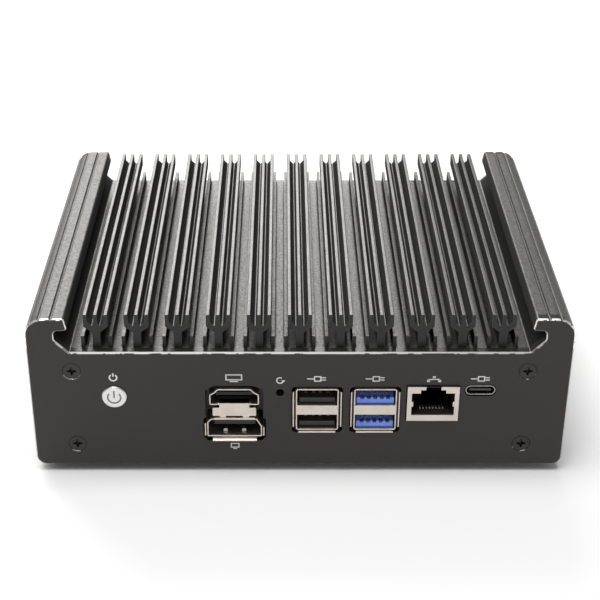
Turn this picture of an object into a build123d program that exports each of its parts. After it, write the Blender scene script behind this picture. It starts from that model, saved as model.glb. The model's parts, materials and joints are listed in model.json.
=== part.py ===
from build123d import *
import os

# Fanless mini PC: a finned aluminium housing with its board hung upside down under the roof.
#
# Frame: +Z up, +X to the right seen from the front, the front panel facing -Y. The origin is on the
# surface that the rubber feet stand on, under the middle of the case. Sizes are in millimetres, and
# heights are measured up from the bottom of the case unless a comment says otherwise. Every piece is
# written as its own STEP file, named after its node.

# ---------------------------------------------------------------- case
case_width = 166.2
case_depth = 127.0
case_height = 53.2
foot_height = 2.6
front_thickness = 3.0
rear_thickness = 2.0
cover_thickness = 2.0

FRONT, REAR = -1, 1  # which way a panel or a port faces along Y
half_width = case_width / 2
front_face = -case_depth / 2
rear_face = case_depth / 2
front_inside = front_face + front_thickness
rear_inside = rear_face - rear_thickness
edge_chamfer = 0.5

# Right half of the case's outline, from the bottom up: x, height, corner radius
fin_floor = 41.5
outline_corners = [
    (half_width, 0.0, 3.0),
    (half_width, case_height, 6.0),
    (71.0, case_height, 0.8),
    (70.2, 49.1, 0.7),
    (74.4, 48.8, 1.3),
    (74.4, 45.8, 1.0),
    (70.1, fin_floor, 0.8),
]
# Decorative grooves in that outline: x, height, radius
outline_grooves = [
    (74.9, case_height, 0.55),
    (78.6, case_height - 0.12, 0.55),
    (81.75, 51.15, 0.45),
    (half_width, 45.1, 0.3),
    (half_width, 5.8, 0.3),
    (82.35, 0.85, 0.45),
    (78.4, 0.0, 0.55),
]

# Inside of the housing's section
roof_underside = 37.5
inner_half_width = 80.0
flange_top = 4.8
flange_reach = 64.0  # the bottom flanges stop this far from the middle
rebate_half_width = 76.0  # the rebate in the flanges takes the bottom cover

# Fins: groups of three prongs on one stem, with a short fin on each side
fin_top = 53.0
fin_groups = 11
fin_pitch = 12.37
stem_half = 1.2
stem_top = 46.9
prong_outer = 3.7
prong_thickness = 1.15
prong_root = 48.9
prong_inner = prong_outer - prong_thickness
crotch_floor = (1.05, 1.35)  # flat between the prongs, from the middle of the group
crotch_height = 49.2
crotch_slope_tops = (49.9, 50.4)  # where the slopes beside that flat meet the middle and outer prong
short_fin_inner = 3.7
short_fin_outer = 4.7
short_fin_top = 45.6

# M3 screws and what takes them
boss_x = 69.8
boss_heights = (8.0, 34.75)
boss_radius = 3.2
thread_radius = 1.5
shank_radius = 1.45
clearance_radius = 1.7
sink_radius = 2.95
sink_depth = sink_radius - clearance_radius
head_radius = 2.7
head_sunk = 0.15  # how far the countersunk heads lie below the face
pan_head = 1.6
cross_width = 0.6
cross_length = 2.9
cross_depth = 1.1
fit_gap = 0.05  # between pieces that sit in one another

# ---------------------------------------------------------------- board and ports
board_bottom = 29.7
board_thickness = 1.6
board_top = board_bottom + board_thickness
board_half_width = 65.4
board_front = -58.0
board_rear = 60.4
spacer_x = 61.0
spacer_ys = (-42.0, 36.0)
spacer_radius = 2.75
roof_hole_top = 40.3
drive_x = (-40.0, 40.0)
drive_y = (8.0, 30.0)
drive_heights = (26.2, 27.0)
drive_mid = sum(drive_y) / 2

port_proud = 0.8  # how far the metal port shells stand out of the panels
shell_wall = 0.35

usb_half_width = 6.58
usb_bottom, usb_top = 13.8, 28.8
usb_web = (19.45, 22.85)
usb_depth = 17.5
usb_back = 16.9
usb_stacks = {"black": 5.47, "blue": 23.43}

video_x = -20.2
video_shell_depth = 12.0
usb_c_x = 55.7
usb_c_height = 28.0
usb_c_size = (9.2, 3.3)

jack_half_width = 8.0
jack_heights = (17.15, 29.55)
jack_depth = 21.0
jack_wall = 0.3
jack_opening = (19.3, 27.25)
jack_opening_half = 6.62
jack_cavity_depth = 14.5
jack_contact_pitch = 1.02
jack_light = ((4.7, 7.3), (27.5, 29.0))
com_x = 41.25
lan_count = 6
lan_pitch = 17.4
lan_xs = [lan_pitch * (i - (lan_count - 1) / 2) for i in range(lan_count)]

button_x = -57.2
button_height = 25.6
button_radius = 3.85
button_proud = 0.5
clear_x = -6.03
clear_height = 27.03
clear_hole_radius = 1.3
switch_front = -54.5
clear_switch_front = -57.0

dc_x = 60.0
dc_height = 23.8
antenna_xs = (-60.0, 60.0)
antenna_height = 11.0
antenna_radius = 3.2

# ---------------------------------------------------------------- bottom cover
cover_half_width = rebate_half_width - 0.25
cover_y = (front_inside + 0.2, rear_inside - 0.2)
cover_screw_points = [(x, y) for x in (-71.6, 71.6) for y in (-50.0, 50.0)]
foot_points = [(x, y) for x in (-58.0, 58.0) for y in (-47.0, 47.0)]
foot_radius = 7.0
bracket_spacing = 75.0  # standard display bracket, M4
bracket_thread_radius = 2.0
drive_spacing = (76.6, 61.72)  # standard 2.5 inch drive, M3
vent_slots = 9
vent_pitch = 6.0
vent_size = (14.0, 2.4)
vent_y = 14.0


# ---------------------------------------------------------------- helpers
def save(piece, label):
    """Names a finished piece and writes it as parts/LABEL.step."""
    piece.part.label = label
    export_step(piece.part, f"parts/{label}.step")


def up(height):
    """Z of a height above the bottom of the case."""
    return foot_height + height


def facing(side, y, x=0.0, height=0.0):
    """Upright plane at depth y: its normal points out of that side, its second axis up."""
    return Plane(origin=(x, y, up(height)), x_dir=(-side, 0, 0), z_dir=(0, side, 0))


def nose_y(depth, side=FRONT):
    """Y of a place `depth` behind the noses of the ports on that side."""
    face = front_face if side == FRONT else rear_face
    return face + side * (port_proud - depth)


def below(x, y, height):
    """Level plane that faces down."""
    return Plane(origin=(x, y, up(height)), x_dir=(1, 0, 0), z_dir=(0, 0, -1))


def bar(x_span, y_span, height_span, mode=Mode.ADD):
    """Box between limits along X, Y and height."""
    spans = [sorted(span) for span in (x_span, y_span, height_span)]
    middle = [(low + high) / 2 for low, high in spans]
    with Locations((middle[0], middle[1], up(middle[2]))):
        Box(*[high - low for low, high in spans], mode=mode)


def upright_rod(x, y, height_span, radius, mode=Mode.ADD):
    """Cylinder along Z between two heights."""
    with Locations((x, y, up(sum(height_span) / 2))):
        Cylinder(radius, height_span[1] - height_span[0], mode=mode)


def level_rod(x, height, y_span, radius, mode=Mode.ADD):
    """Cylinder along Y between two depths."""
    with Locations(facing(FRONT, sum(y_span) / 2, x, height)):
        Cylinder(radius, abs(y_span[1] - y_span[0]), mode=mode)


def window(x_span, height_span, corner=0.0, mode=Mode.ADD):
    """Rectangle between limits in the sketch being drawn, with rounded corners if asked for."""
    width, height = x_span[1] - x_span[0], height_span[1] - height_span[0]
    with Locations((sum(x_span) / 2, sum(height_span) / 2)):
        if corner:
            RectangleRounded(width, height, corner, mode=mode)
        else:
            Rectangle(width, height, mode=mode)


def cross_recess():
    """Phillips recess at the current locations, cut down from their planes."""
    hanging = (Align.CENTER, Align.CENTER, Align.MAX)
    Box(cross_width, cross_length, cross_depth, align=hanging, mode=Mode.SUBTRACT)
    Box(cross_length, cross_width, cross_depth, align=hanging, mode=Mode.SUBTRACT)
    Cone(0.2, 0.85, cross_depth, align=hanging, mode=Mode.SUBTRACT)


def countersunk_screw(plane, length):
    """M3 countersunk screw whose head lies in the plane and whose shank runs down from it."""
    hanging = (Align.CENTER, Align.CENTER, Align.MAX)
    with Locations(plane):
        Cone(shank_radius, head_radius, head_radius - shank_radius, align=hanging)
        Cylinder(shank_radius, length, align=hanging)
        cross_recess()


def pan_screw(plane, length, radius=head_radius, head=pan_head):
    """M3 pan-head screw: its head stands on the plane, its shank runs down from it."""
    with Locations(plane):
        Cylinder(radius, head, align=(Align.CENTER, Align.CENTER, Align.MIN))
        Cylinder(shank_radius, length, align=(Align.CENTER, Align.CENTER, Align.MAX))
    with Locations(plane.offset(head)):
        cross_recess()


def flare(x, height, out, width, reach, length):
    """Lip of a port's shell that leans out of the wall and ends `reach` outside it at the nose.

    (x, height) is the middle of the wall's outer edge in the nose, out its outward direction as
    (x, z), and the lip starts `length` behind the nose.
    """
    outward = Vector(out[0], 0, out[1])
    inward = Vector(0, 1, 0)
    side_view = Plane(
        origin=(x, nose_y(0), up(height)), x_dir=outward, z_dir=outward.cross(inward)
    )
    with BuildSketch(side_view) as lip:
        Polygon((reach, 0), (reach - shell_wall, 0), (-shell_wall, length), (0, length), align=None)
    extrude(lip.sketch, amount=width / 2, both=True)


def solder_legs(x, half_width, top, depths, side=FRONT):
    """Legs from the top of a port's shell up to the board, in pairs at the given depths."""
    for depth in depths:
        y = nose_y(depth, side)
        for edge in (x - half_width, x + half_width):
            bar((edge - 0.3, edge + 0.3), (y - 0.7, y + 0.7), (top - 0.2, board_bottom))


# ---------------------------------------------------------------- outlines drawn once
with BuildSketch() as case_outline:
    right_side = [(x, height) for x, height, radius in outline_corners]
    left_side = [(-x, height) for x, height in reversed(right_side)]
    Polygon(*right_side, *left_side, align=None)
    for x, height, radius in outline_corners:
        for corner in ((x, height), (-x, height)):
            fillet(case_outline.vertices().sort_by_distance(corner)[0], radius)

with BuildSketch() as groove_section:
    for x, height, radius in outline_grooves:
        with Locations((x, height), (-x, height)):
            Circle(radius)

with BuildSketch() as fin_group:
    with BuildLine():
        Polyline(
            (0, fin_floor - 1),
            (stem_half, fin_floor - 1),
            (stem_half, stem_top),
            (prong_outer, prong_root),
            (prong_outer, fin_top),
            (prong_inner, fin_top),
            (prong_inner, crotch_slope_tops[1]),
            (crotch_floor[1], crotch_height),
            (crotch_floor[0], crotch_height),
            (prong_thickness / 2, crotch_slope_tops[0]),
            (prong_thickness / 2, fin_top),
            (0, fin_top),
            close=True,
        )
    make_face()
    window((short_fin_inner, short_fin_outer), (fin_floor - 1, short_fin_top))
    for tip_height, rounding in ((fin_top, 0.22), (short_fin_top, 0.42)):
        fillet(fin_group.vertices().filter_by(lambda tip: tip.X > 0.1 and tip.Y == tip_height), rounding)
    mirror(about=Plane.YZ)

with BuildSketch() as jack_mouth:
    window((-jack_opening_half, jack_opening_half), jack_opening)
    window((-3.87, 3.87), (jack_opening[0], 28.45))
    window((-2.32, 2.32), (jack_opening[0], jack_heights[1] - 0.4))

with BuildSketch() as upper_video_outline:
    Polygon(
        (-7.65, 23.05), (7.65, 23.05), (7.65, 26.8), (6.3, 27.5), (5.15, 28.8),
        (-5.15, 28.8), (-6.3, 27.5), (-7.65, 26.8), align=None,
    )
    fillet(upper_video_outline.vertices(), 0.6)

with BuildSketch() as lower_video_outline:
    Polygon(
        (-8.54, 11.37), (8.54, 11.37), (8.54, 15.1), (7.0, 17.9), (-7.4, 17.9), (-8.54, 16.6),
        align=None,
    )
    fillet(lower_video_outline.vertices(), 0.4)

panel_screw_points = [(x, height) for x in (-boss_x, boss_x) for height in boss_heights]
spacer_points = [(x, y) for x in (-spacer_x, spacer_x) for y in spacer_ys]
block_screw_points = [(x, y) for x in (-23.0, 23.0) for y in (-18.0, 18.0)]

os.makedirs("parts", exist_ok=True)

# ---------------------------------------------------------------- housing, cover and panels
with BuildPart() as heatsink_housing:
    with BuildSketch(facing(FRONT, front_inside)):
        add(case_outline.sketch)
        add(groove_section.sketch, mode=Mode.SUBTRACT)
        with Locations(*[(fin_pitch * (i - (fin_groups - 1) / 2), 0) for i in range(fin_groups)]):
            add(fin_group.sketch)
        hollow = (flange_top, roof_underside)
        window((-inner_half_width, inner_half_width), hollow, 1.5, Mode.SUBTRACT)
        window((-flange_reach, flange_reach), (-1, flange_top + 3), mode=Mode.SUBTRACT)
        window((-rebate_half_width, rebate_half_width), (-1, cover_thickness), mode=Mode.SUBTRACT)
        for x, height in panel_screw_points:
            root = min(hollow, key=lambda edge: abs(edge - height))
            window((x - boss_radius, x + boss_radius), sorted((root, height)))
            with Locations((x, height)):
                Circle(boss_radius)
        with Locations(*panel_screw_points):
            Circle(thread_radius, mode=Mode.SUBTRACT)
    extrude(amount=front_inside - rear_inside)
    for x, y in cover_screw_points:
        upright_rod(x, y, (1, flange_top + 0.4), thread_radius, Mode.SUBTRACT)
    for x, y in spacer_points + block_screw_points:
        upright_rod(x, y, (roof_underside - 1, roof_hole_top), thread_radius, Mode.SUBTRACT)
save(heatsink_housing, "heatsink_housing")

with BuildPart() as bottom_cover:
    with BuildSketch(Plane.XY.offset(up(0))):
        with Locations((0, sum(cover_y) / 2)):
            RectangleRounded(2 * cover_half_width, cover_y[1] - cover_y[0], 1.0)
        with Locations(*cover_screw_points):
            Circle(clearance_radius, mode=Mode.SUBTRACT)
        with Locations(*foot_points):
            Circle(thread_radius, mode=Mode.SUBTRACT)
        with GridLocations(bracket_spacing, bracket_spacing, 2, 2):
            Circle(bracket_thread_radius, mode=Mode.SUBTRACT)
        with GridLocations(*drive_spacing, 2, 2):
            Circle(clearance_radius, mode=Mode.SUBTRACT)
        for row_y in (-vent_y, vent_y):
            with Locations((0, row_y)):
                with GridLocations(vent_pitch, 1, vent_slots, 1):
                    SlotOverall(*vent_size, rotation=90, mode=Mode.SUBTRACT)
    extrude(amount=cover_thickness)
    with Locations(*[below(x, y, 0) for x, y in cover_screw_points]):
        Cone(
            clearance_radius, sink_radius, sink_depth,
            align=(Align.CENTER, Align.CENTER, Align.MAX), mode=Mode.SUBTRACT,
        )
save(bottom_cover, "bottom_cover")


def panel_blank(side, thickness):
    """Plate of the case's outline with a bright chamfer and four countersunk screw holes."""
    face = front_face if side == FRONT else rear_face
    with BuildSketch(facing(side, face)) as outline:
        add(case_outline.sketch)
    blank = extrude(outline.sketch, amount=-thickness)
    outer_face = blank.faces().filter_by(Axis.Y).sort_by(Axis.Y)[0 if side == FRONT else -1]
    chamfer(outer_face.edges(), edge_chamfer)
    with BuildSketch(facing(side, face)) as grooves:
        add(groove_section.sketch)
    extrude(grooves.sketch, amount=2 * thickness, both=True, mode=Mode.SUBTRACT)
    for x, height in panel_screw_points:
        with Locations(facing(side, face, x, height)):
            Cylinder(clearance_radius, 3 * thickness, mode=Mode.SUBTRACT)
            Cone(
                clearance_radius, sink_radius, sink_depth,
                align=(Align.CENTER, Align.CENTER, Align.MAX), mode=Mode.SUBTRACT,
            )


with BuildPart() as front_panel:
    panel_blank(FRONT, front_thickness)
    with BuildSketch(facing(FRONT, front_face)):
        with Locations((video_x, 0)):
            Polygon(
                (-8.5, 9.2), (8.5, 9.2), (9.76, 10.6), (9.76, 17.2), (9.0, 18.0), (9.0, 27.8),
                (7.4, 28.9), (5.9, 29.45), (-5.9, 29.45), (-7.4, 28.9), (-9.0, 27.8),
                (-9.0, 18.0), (-9.76, 17.2), (-9.76, 10.6), align=None,
            )
        for x in usb_stacks.values():
            window((x - 7.9, x + 7.9), (12.4, 29.1), 1.2)
        window((com_x - 8.3, com_x + 8.3), (16.85, 29.85), 0.4)
        window((usb_c_x - 4.9, usb_c_x + 4.9), (25.8, 30.0), 2.0)
        with Locations((button_x, button_height)):
            Circle(button_radius + 0.2)
        with Locations((clear_x, clear_height)):
            Circle(clear_hole_radius)
    extrude(amount=2 * front_thickness, both=True, mode=Mode.SUBTRACT)
save(front_panel, "front_panel")

with BuildPart() as rear_panel:
    panel_blank(REAR, rear_thickness)
    with BuildSketch(facing(REAR, rear_face)):
        for x in lan_xs:
            window((x - 8.3, x + 8.3), (16.85, 29.85), 0.4)
        with Locations((-dc_x, dc_height)):
            Circle(4.2)
        with Locations(*[(x, antenna_height) for x in antenna_xs]):
            Circle(antenna_radius)
    extrude(amount=2 * rear_thickness, both=True, mode=Mode.SUBTRACT)
save(rear_panel, "rear_panel")

with BuildPart() as rubber_feet:
    for x, y in foot_points:
        with Locations((x, y, 0)):
            standing = (Align.CENTER, Align.CENTER, Align.MIN)
            Cone(foot_radius - 0.6, foot_radius, foot_height, align=standing)
        upright_rod(x, y, (-foot_height - 1, -1.0), 3.6, Mode.SUBTRACT)
        upright_rod(x, y, (-foot_height - 1, 1.0), clearance_radius, Mode.SUBTRACT)
save(rubber_feet, "rubber_feet")

with BuildPart() as foot_screws:
    for x, y in foot_points:
        pan_screw(below(x, y, -1.0), 1.0 + cover_thickness, head=1.2)
save(foot_screws, "foot_screws")

with BuildPart() as bottom_cover_screws:
    for x, y in cover_screw_points:
        countersunk_screw(below(x, y, head_sunk), 4.8)
save(bottom_cover_screws, "bottom_cover_screws")

with BuildPart() as front_panel_screws:
    for x, height in panel_screw_points:
        countersunk_screw(facing(FRONT, front_face + head_sunk, x, height), 9.0)
save(front_panel_screws, "front_panel_screws")

with BuildPart() as rear_panel_screws:
    for x, height in panel_screw_points:
        countersunk_screw(facing(REAR, rear_face - head_sunk, x, height), 8.0)
save(rear_panel_screws, "rear_panel_screws")

# ---------------------------------------------------------------- power button and its switch
switch_half = 3.3
plunger_tip = switch_front - 1.5

with BuildPart() as power_button:
    nose = front_face - button_proud
    flange_front = front_inside + 0.3
    level_rod(button_x, button_height, (nose, flange_front), button_radius)
    chamfer(power_button.faces().sort_by(Axis.Y)[0].edges(), 0.3)
    level_rod(button_x, button_height, (flange_front, flange_front + 0.8), button_radius + 0.7)
    level_rod(button_x, button_height, (flange_front + 0.8, plunger_tip), 1.8)
save(power_button, "power_button")

with BuildPart() as power_switch_plunger:
    level_rod(button_x, button_height, (plunger_tip, switch_front + 1.5), 1.5)
save(power_switch_plunger, "power_switch_plunger")

with BuildPart() as power_switch_body:
    bar(
        (button_x - switch_half, button_x + switch_half), (switch_front, switch_front + 6),
        (button_height - switch_half, board_bottom),
    )
    level_rod(button_x, button_height, (switch_front - 1, switch_front + 3), 1.6, Mode.SUBTRACT)
save(power_switch_body, "power_switch_body")

with BuildPart() as clear_switch_plunger:
    level_rod(clear_x, clear_height, (clear_switch_front - 1.6, clear_switch_front + 0.6), 0.9)
save(clear_switch_plunger, "clear_switch_plunger")

with BuildPart() as clear_switch_body:
    body_y = (clear_switch_front, clear_switch_front + 3.5)
    bar((clear_x - 3.1, clear_x + 3.1), body_y, (24.9, board_bottom))
    level_rod(
        clear_x, clear_height, (clear_switch_front - 1, clear_switch_front + 1.2), 1.0, Mode.SUBTRACT
    )
save(clear_switch_body, "clear_switch_body")

# ---------------------------------------------------------------- stacked video ports
with BuildPart() as upper_video_shell:
    with BuildSketch(facing(FRONT, nose_y(0), video_x)):
        add(upper_video_outline.sketch)
        offset(amount=-shell_wall, mode=Mode.SUBTRACT)
        window((-4.7, 4.7), (22, 24), mode=Mode.SUBTRACT)
        for side in (-1, 1):
            window(sorted((side * 4.7, side * 5.05)), (23.05, 23.8))
    extrude(amount=-video_shell_depth)
    solder_legs(video_x, 4.6, 28.8, (8, 11))
save(upper_video_shell, "upper_video_shell")

with BuildPart() as upper_video_tongue:
    with BuildSketch(facing(FRONT, nose_y(9.5), video_x)):
        window((-7.0, 7.0), (23.9, 26.7))
        window((-5.0, 5.0), (23.9, 28.2))
    extrude(amount=-(video_shell_depth - 9.5))
    bar((video_x - 5.6, video_x + 5.6), (nose_y(1.2), nose_y(9.7)), (26.0, 27.1))
save(upper_video_tongue, "upper_video_tongue")

with BuildPart() as lower_video_shell:
    with BuildSketch(facing(FRONT, nose_y(0), video_x)):
        add(lower_video_outline.sketch)
        offset(amount=-shell_wall, mode=Mode.SUBTRACT)
    extrude(amount=-video_shell_depth)
    flare(video_x - 8.54, 13.9, (-1, 0), 4.6, 0.75, 2.2)
    flare(video_x + 8.54, 13.2, (1, 0), 3.2, 0.75, 2.2)
    flare(video_x, 17.9, (0, 1), 12.6, shell_wall, 2.2)
    flare(video_x, 11.37, (0, -1), 13.8, 1.9, 2.6)
    for x in (video_x - 5.6, video_x + 5.6):  # the lip below hangs from its middle
        bar((x - 1.35, x + 1.35), (nose_y(1.0), nose_y(3.0)), (9.0, 11.36), Mode.SUBTRACT)
save(lower_video_shell, "lower_video_shell")

with BuildPart() as lower_video_tongue:
    bar((video_x - 7.6, video_x + 6.6), (nose_y(9.5), nose_y(video_shell_depth)), (12.0, 17.2))
    bar((video_x - 6.4, video_x + 6.4), (nose_y(3), nose_y(9.7)), (14.0, 15.4))
save(lower_video_tongue, "lower_video_tongue")

with BuildPart() as lower_video_latches:
    for x in (video_x - 2.95, video_x + 2.85):
        with BuildSketch(Plane(origin=(x, nose_y(0), up(0)), x_dir=(0, 1, 0), z_dir=(1, 0, 0))):
            Polygon((2.2, 11.8), (2.5, 12.6), (2.9, 12.6), (4.4, 12.1), (8.5, 12.1), (8.5, 11.8), align=None)
        extrude(amount=0.6, both=True)
save(lower_video_latches, "lower_video_latches")

with BuildPart() as video_stack_bracket:
    with BuildSketch(facing(FRONT, nose_y(0.15), video_x)):
        window((-6.73, 6.73), (18.9, 21.9), 0.3)
        window((-4.65, 4.65), (21.5, 23.5))
        for x in (-3.6, 3.6):
            window((x - 1.0, x + 1.0), (18.3, 19.2))
    extrude(amount=-0.5)
    for x in (-6.53, 6.53):
        bar((video_x + x - 0.2, video_x + x + 0.2), (nose_y(0.4), nose_y(8)), (19.2, 21.6))
save(video_stack_bracket, "video_stack_bracket")

with BuildPart() as video_stack_housing:
    bar((video_x - 9.2, video_x + 9.2), (nose_y(5), nose_y(19)), (10.2, board_bottom))
    pocket_depths = (nose_y(4), nose_y(video_shell_depth + 0.1))
    bar((video_x - 7.8, video_x + 7.8), pocket_depths, (22.9, 29.8), Mode.SUBTRACT)
    bar((video_x - 8.7, video_x + 8.7), pocket_depths, (11.2, 18.05), Mode.SUBTRACT)
    bar((video_x - 6.9, video_x + 6.9), pocket_depths, (18.7, 22.1), Mode.SUBTRACT)
save(video_stack_housing, "video_stack_housing")

# ---------------------------------------------------------------- stacked USB ports
# Both stacks have the same shell; the tongues differ: limits across from the middle, thickness,
# height over the opening's floor and depth behind the nose
usb_tongues = {"black": (5.5, 1.7, 0.35, 1.4), "blue": (5.75, 2.15, 0.2, 1.0)}
usb_floors = (usb_bottom + shell_wall, usb_web[1])
lane_xs = (-3.5, -1.0, 1.0, 3.5)
notch_xs = [2.0 * i for i in range(-2, 3)]
notch_size = (1.2, 2.4, 0.65)

for colour, middle in usb_stacks.items():
    half, thickness, rise, depth = usb_tongues[colour]

    with BuildPart() as usb_shell:
        with BuildSketch(facing(FRONT, nose_y(0), middle)):
            window((-usb_half_width, usb_half_width), (usb_bottom, usb_top), 0.7)
            offset(amount=-shell_wall, mode=Mode.SUBTRACT)
            window((-usb_half_width + 0.2, usb_half_width - 0.2), usb_web)
        extrude(amount=-usb_depth)
        web_inside = (usb_web[0] + 0.3, usb_web[1] - 0.3)
        web_half = usb_half_width - 0.7
        bar((middle - web_half, middle + web_half), (nose_y(0.4), nose_y(20)), web_inside, Mode.SUBTRACT)
        wall_middle = (usb_bottom + usb_top) / 2
        flare(middle - usb_half_width, wall_middle, (-1, 0), 12.8, 1.0, 2.2)
        flare(middle + usb_half_width, wall_middle, (1, 0), 12.8, 1.0, 2.2)
        flare(middle, usb_bottom, (0, -1), 11.6, 1.1, 2.2)
        solder_legs(middle, 5.5, usb_top, (8, 15))
    save(usb_shell, f"{colour}_usb_shell")

    with BuildPart() as usb_tongue_pair:
        for floor, ceiling in zip(usb_floors, (usb_web[0], usb_top - shell_wall)):
            tongue_top = floor + rise + thickness
            block_heights = (floor + fit_gap, ceiling - fit_gap)
            bar((middle - 6.1, middle + 6.1), (nose_y(13), nose_y(usb_back)), block_heights)
            tongue_heights = (floor + rise, tongue_top)
            bar((middle - half, middle + half), (nose_y(depth), nose_y(13.2)), tongue_heights)
            if colour == "blue":
                for x in notch_xs:
                    notch_x = (middle + x - notch_size[0] / 2, middle + x + notch_size[0] / 2)
                    notch_y = (nose_y(depth - 1), nose_y(depth + notch_size[1]))
                    bar(notch_x, notch_y, (tongue_top - notch_size[2], tongue_top + 1), Mode.SUBTRACT)
    save(usb_tongue_pair, f"{colour}_usb_tongues")

    with BuildPart() as usb_contact_set:
        for floor in usb_floors:
            tongue_top = floor + rise + thickness
            for x in lane_xs:
                lane = (middle + x - 0.45, middle + x + 0.45)
                bar(lane, (nose_y(depth + 2.8), nose_y(12.9)), (tongue_top, tongue_top + 0.2))
            if colour == "blue":
                for x in notch_xs:
                    pad = (middle + x - 0.4, middle + x + 0.4)
                    pad_heights = (tongue_top - notch_size[2], tongue_top - notch_size[2] + 0.15)
                    bar(pad, (nose_y(depth + 0.6), nose_y(depth + 2.2)), pad_heights)
    save(usb_contact_set, f"{colour}_usb_contacts")

# ---------------------------------------------------------------- USB-C port
with BuildPart() as usb_c_shell:
    with BuildSketch(facing(FRONT, front_face, usb_c_x, usb_c_height)):
        SlotOverall(*usb_c_size)
        offset(amount=-0.3, mode=Mode.SUBTRACT)
    extrude(amount=-7.5)
    solder_legs(usb_c_x, 2.6, usb_c_height + usb_c_size[1] / 2, (7.6,))
save(usb_c_shell, "usb_c_shell")

with BuildPart() as usb_c_tongue:
    with BuildSketch(facing(FRONT, front_face + 5.5, usb_c_x, usb_c_height)):
        SlotOverall(usb_c_size[0] - 0.7, usb_c_size[1] - 0.7)
    extrude(amount=-2.0)
    tongue_y = (front_face + 0.4, front_face + 5.7)
    bar((usb_c_x - 3.35, usb_c_x + 3.35), tongue_y, (usb_c_height - 0.35, usb_c_height + 0.35))
save(usb_c_tongue, "usb_c_tongue")


# ---------------------------------------------------------------- network-type jacks
def jack_shield(x, side, lights):
    """Tin box around a jack, with the plug's stepped mouth and, if asked for, two light windows."""
    outer_y = (nose_y(0, side), nose_y(jack_depth, side))
    bar((x - jack_half_width, x + jack_half_width), outer_y, jack_heights)
    inner = jack_half_width - jack_wall
    inner_heights = (jack_heights[0] + jack_wall, jack_heights[1] - jack_wall)
    inner_y = (nose_y(jack_wall, side), nose_y(jack_depth - jack_wall, side))
    bar((x - inner, x + inner), inner_y, inner_heights, Mode.SUBTRACT)
    with BuildSketch(facing(side, nose_y(0, side), x)) as mouth:
        add(jack_mouth.sketch)
        window((-2.32, 2.32), (28, jack_heights[1] + 1))
        if lights:
            for edge in (-1, 1):
                window(sorted((edge * jack_light[0][0], edge * jack_light[0][1])), jack_light[1])
    extrude(mouth.sketch, amount=-3.0, mode=Mode.SUBTRACT)
    for edge in (-1, 1):
        finger = sorted((x + edge * (jack_opening_half - 0.5), x + edge * (jack_half_width - 0.1)))
        bar(finger, (nose_y(0.05, side), nose_y(jack_wall, side)), (22.4, 24.1))
    solder_legs(x, jack_half_width - 0.4, jack_heights[1], (9, 17), side)


def jack_insert(x, side, lights):
    """Plastic body inside a jack's shield, with the cavity for the plug."""
    half = jack_half_width - jack_wall - fit_gap
    heights = (jack_heights[0] + jack_wall + fit_gap, jack_heights[1] - jack_wall - fit_gap)
    depths = (nose_y(jack_wall + 0.1, side), nose_y(jack_depth - 0.4, side))
    bar((x - half, x + half), depths, heights)
    with BuildSketch(facing(side, nose_y(0, side), x)) as mouth:
        add(jack_mouth.sketch)
    extrude(mouth.sketch, amount=-jack_cavity_depth, mode=Mode.SUBTRACT)
    if lights:
        for edge in (-1, 1):
            pocket = sorted((x + edge * (jack_light[0][0] - 0.05), x + edge * (jack_light[0][1] + 0.05)))
            pocket_heights = (jack_light[1][0] - 0.05, jack_light[1][1] + 0.05)
            bar(pocket, (nose_y(0, side), nose_y(6.1, side)), pocket_heights, Mode.SUBTRACT)


def jack_contacts(x, side):
    """Eight spring wires that rise from the cavity's floor towards its back."""
    for i in range(8):
        wire_x = x + jack_contact_pitch * (i - 3.5)
        origin = (wire_x, nose_y(0, side), up(jack_opening[0]))
        with BuildSketch(Plane(origin=origin, x_dir=(0, -side, 0), z_dir=(1, 0, 0))) as wire:
            height = -side  # the sketch's second axis points up only where the ports face front
            Polygon(
                (3.6, 0.05 * height), (3.6, 0.45 * height), (5.0, 0.5 * height),
                (14.4, 3.9 * height), (14.4, 3.6 * height), (5.2, 0.05 * height), align=None,
            )
        extrude(wire.sketch, amount=0.2, both=True)


with BuildPart() as com_jack_shield:
    jack_shield(com_x, FRONT, lights=False)
save(com_jack_shield, "com_jack_shield")

with BuildPart() as com_jack_insert:
    jack_insert(com_x, FRONT, lights=False)
save(com_jack_insert, "com_jack_insert")

with BuildPart() as com_jack_contacts:
    jack_contacts(com_x, FRONT)
save(com_jack_contacts, "com_jack_contacts")

with BuildPart() as lan_jack_shields:
    for x in lan_xs:
        jack_shield(x, REAR, lights=True)
save(lan_jack_shields, "lan_jack_shields")

with BuildPart() as lan_jack_inserts:
    for x in lan_xs:
        jack_insert(x, REAR, lights=True)
save(lan_jack_inserts, "lan_jack_inserts")

with BuildPart() as lan_jack_contacts:
    for x in lan_xs:
        jack_contacts(x, REAR)
save(lan_jack_contacts, "lan_jack_contacts")

with BuildPart() as lan_jack_lights:
    for x in lan_xs:
        for edge in (-1, 1):
            lens = sorted((x + edge * (jack_light[0][0] + 0.05), x + edge * (jack_light[0][1] - 0.05)))
            lens_heights = (jack_light[1][0] + 0.05, jack_light[1][1] - 0.05)
            bar(lens, (nose_y(0.05, REAR), nose_y(6, REAR)), lens_heights)
save(lan_jack_lights, "lan_jack_lights")

# ---------------------------------------------------------------- power inlet and antenna hole plugs
with BuildPart() as dc_jack_body:
    bar((dc_x - 4.5, dc_x + 4.5), (rear_inside - 0.1, rear_inside - 13), (dc_height - 5, board_bottom))
    level_rod(dc_x, dc_height, (rear_inside - 1, rear_face), 4.0)
    level_rod(dc_x, dc_height, (rear_inside - 9, rear_face + 1), 3.1, Mode.SUBTRACT)
save(dc_jack_body, "dc_jack_body")

with BuildPart() as dc_jack_pin:
    level_rod(dc_x, dc_height, (rear_inside - 9, rear_face - 0.8), 1.0)
    fillet(dc_jack_pin.faces().sort_by(Axis.Y)[-1].edges(), 0.4)
save(dc_jack_pin, "dc_jack_pin")

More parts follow.
